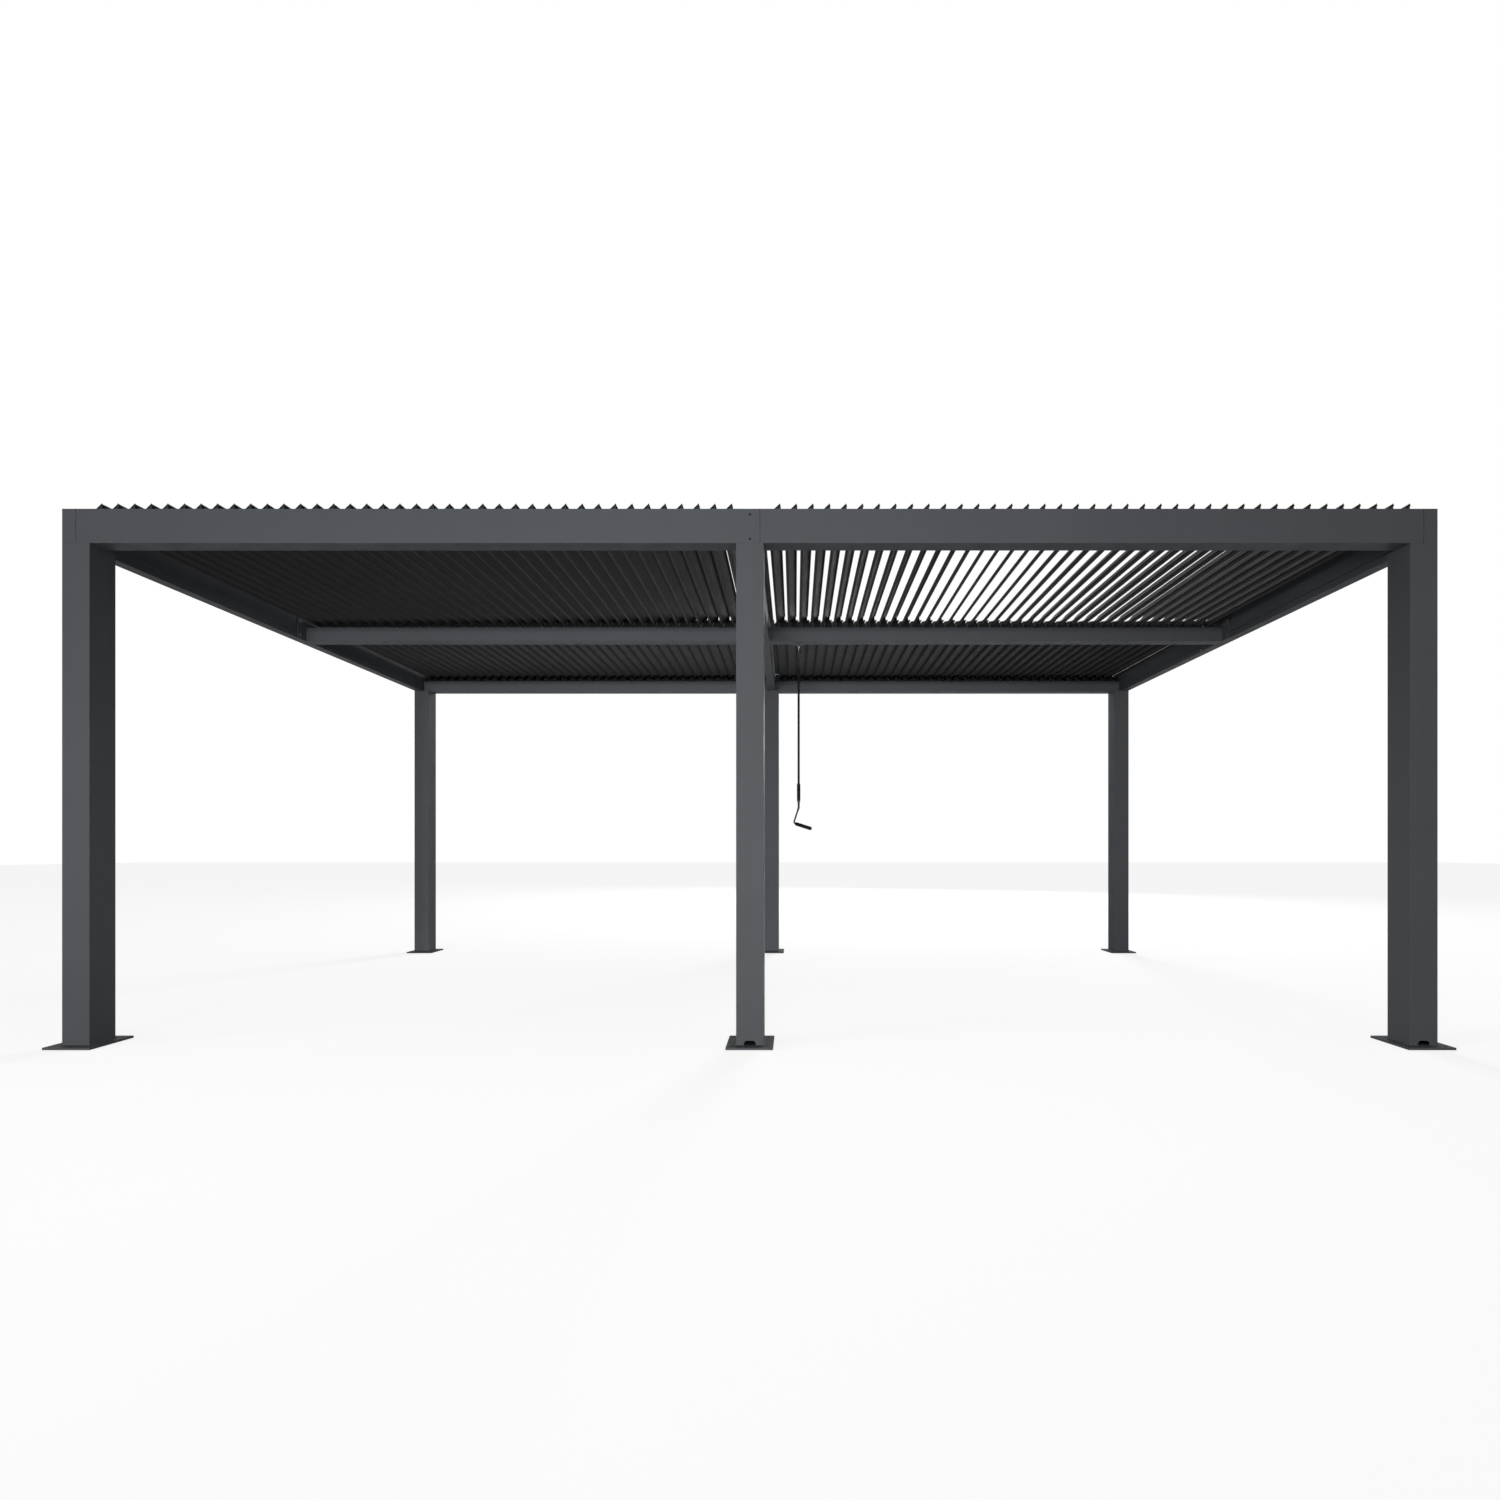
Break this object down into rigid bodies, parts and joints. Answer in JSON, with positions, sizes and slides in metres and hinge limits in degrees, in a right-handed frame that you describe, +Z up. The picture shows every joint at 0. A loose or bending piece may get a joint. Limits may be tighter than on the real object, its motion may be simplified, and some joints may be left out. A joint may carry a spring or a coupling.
{
  "type": "louvred pergola",
  "caption": "Free-standing flat-roofed pergola on square posts with bolted feet, gutter beams, fields of louvre blades and a hanging hand crank.",
  "frame": {"origin": "on the ground under the middle of the frame", "axes": "+X to the right along the front, +Y from front to back, +Z up"},
  "size_m": [6.085, 3.085, 2.3759],
  "materials": {
    "frame_finish": "anthracite powder coat, fine satin texture",
    "blade_finish": "anthracite powder coat, satin",
    "rail_plastic": "moulded black plastic",
    "gearbox_plastic": "moulded black plastic",
    "crank_steel": "zinc plated",
    "crank_paint": "grey powder coat",
    "grip_plastic": "black moulded grip"
  },
  "bodies": {
    "pergola": {"post_front_left": "frame_finish", "post_front_centre": "frame_finish", "post_front_right": "frame_finish", "post_back_left": "frame_finish", "post_back_centre": "frame_finish", "post_back_right": "frame_finish", "foot_plate_front_left": "frame_finish", "foot_plate_front_centre": "frame_finish", "foot_plate_front_right": "frame_finish", "foot_plate_back_left": "frame_finish", "foot_plate_back_centre": "frame_finish", "foot_plate_back_right": "frame_finish", "front_beam_left": "frame_finish", "front_beam_right": "frame_finish", "back_beam_left": "frame_finish", "back_beam_right": "frame_finish", "side_beam_left": "frame_finish", "side_beam_right": "frame_finish", "corner_cap_front_left": "frame_finish", "corner_cap_front_right": "frame_finish", "corner_cap_back_left": "frame_finish", "corner_cap_back_right": "frame_finish", "centre_beam": "frame_finish", "mid_beam_left": "frame_finish", "mid_beam_right": "frame_finish", "mid_bracket_left_inner": "frame_finish", "mid_bracket_left_outer": "frame_finish", "mid_bracket_right_inner": "frame_finish", "mid_bracket_right_outer": "frame_finish", "rail_front_left": "rail_plastic", "rail_front_right": "rail_plastic", "rail_middle_left": "rail_plastic", "rail_middle_right": "rail_plastic", "rail_back_left": "rail_plastic", "rail_back_right": "rail_plastic", "louvres_front_left": "blade_finish", "louvres_front_right": "blade_finish", "louvres_back_left": "blade_finish", "louvres_back_right": "blade_finish", "gearbox": "gearbox_plastic"},
    "crank": {"crank_eye": "crank_steel", "crank_rod": "crank_paint"},
    "sleeve": {"rod_sleeve": "grip_plastic"},
    "arm": {"crank_arm": "crank_paint"},
    "grip": {"crank_grip": "grip_plastic"}
  },
  "joints": [
    {"name": "crank_turn", "type": "hinge", "parent": "pergola", "child": "crank", "pos_m": [0.221, 0.066, 2.2], "axis": [0, 0, 1], "continuous": true},
    {"name": "sleeve_spin", "type": "hinge", "parent": "crank", "child": "sleeve", "pos_m": [0.221, 0.066, 1.244], "axis": [0, 0, 1], "continuous": true},
    {"name": "elbow_fold", "type": "hinge", "parent": "crank", "child": "arm", "pos_m": [0.221, 0.066, 1.139], "axis": [0, 1, 0], "range_deg": [-18, 72]},
    {"name": "grip_spin", "type": "hinge", "parent": "arm", "child": "grip", "pos_m": [0.18824, 0.066, 1.03819], "axis": [0.9511, 0, -0.309], "continuous": true}
  ]
}
